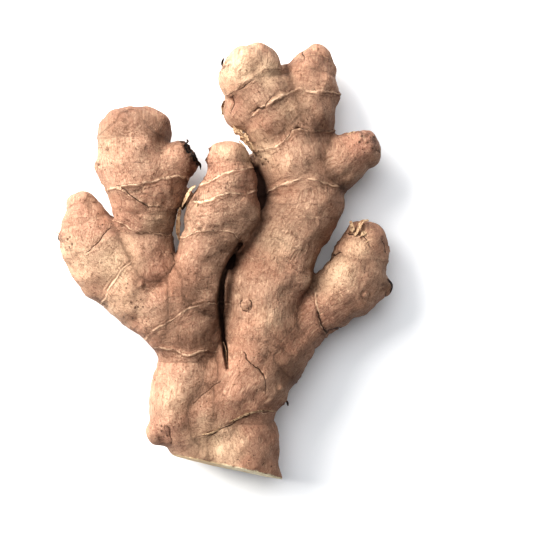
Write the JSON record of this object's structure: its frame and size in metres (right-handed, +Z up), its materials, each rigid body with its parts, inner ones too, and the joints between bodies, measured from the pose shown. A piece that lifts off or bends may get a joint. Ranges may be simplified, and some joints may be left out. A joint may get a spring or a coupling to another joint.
{
  "type": "ginger root",
  "caption": "Hand of ginger: a short cut trunk with blunt branching fingers, buds and raised ring scars, lying flat.",
  "frame": {"origin": "centre of the footprint, on the surface that the hand lies on", "axes": "+Z up, +Y from the cut trunk towards the fingertips, +X to the right seen from above"},
  "size_m": [0.1113, 0.1451, 0.0327],
  "materials": {
    "ginger_skin": "thin dry matt skin, tan with pale ring scars and dark specks"
  },
  "bodies": {
    "root": {"ginger_root": "ginger_skin"}
  },
  "joints": []
}
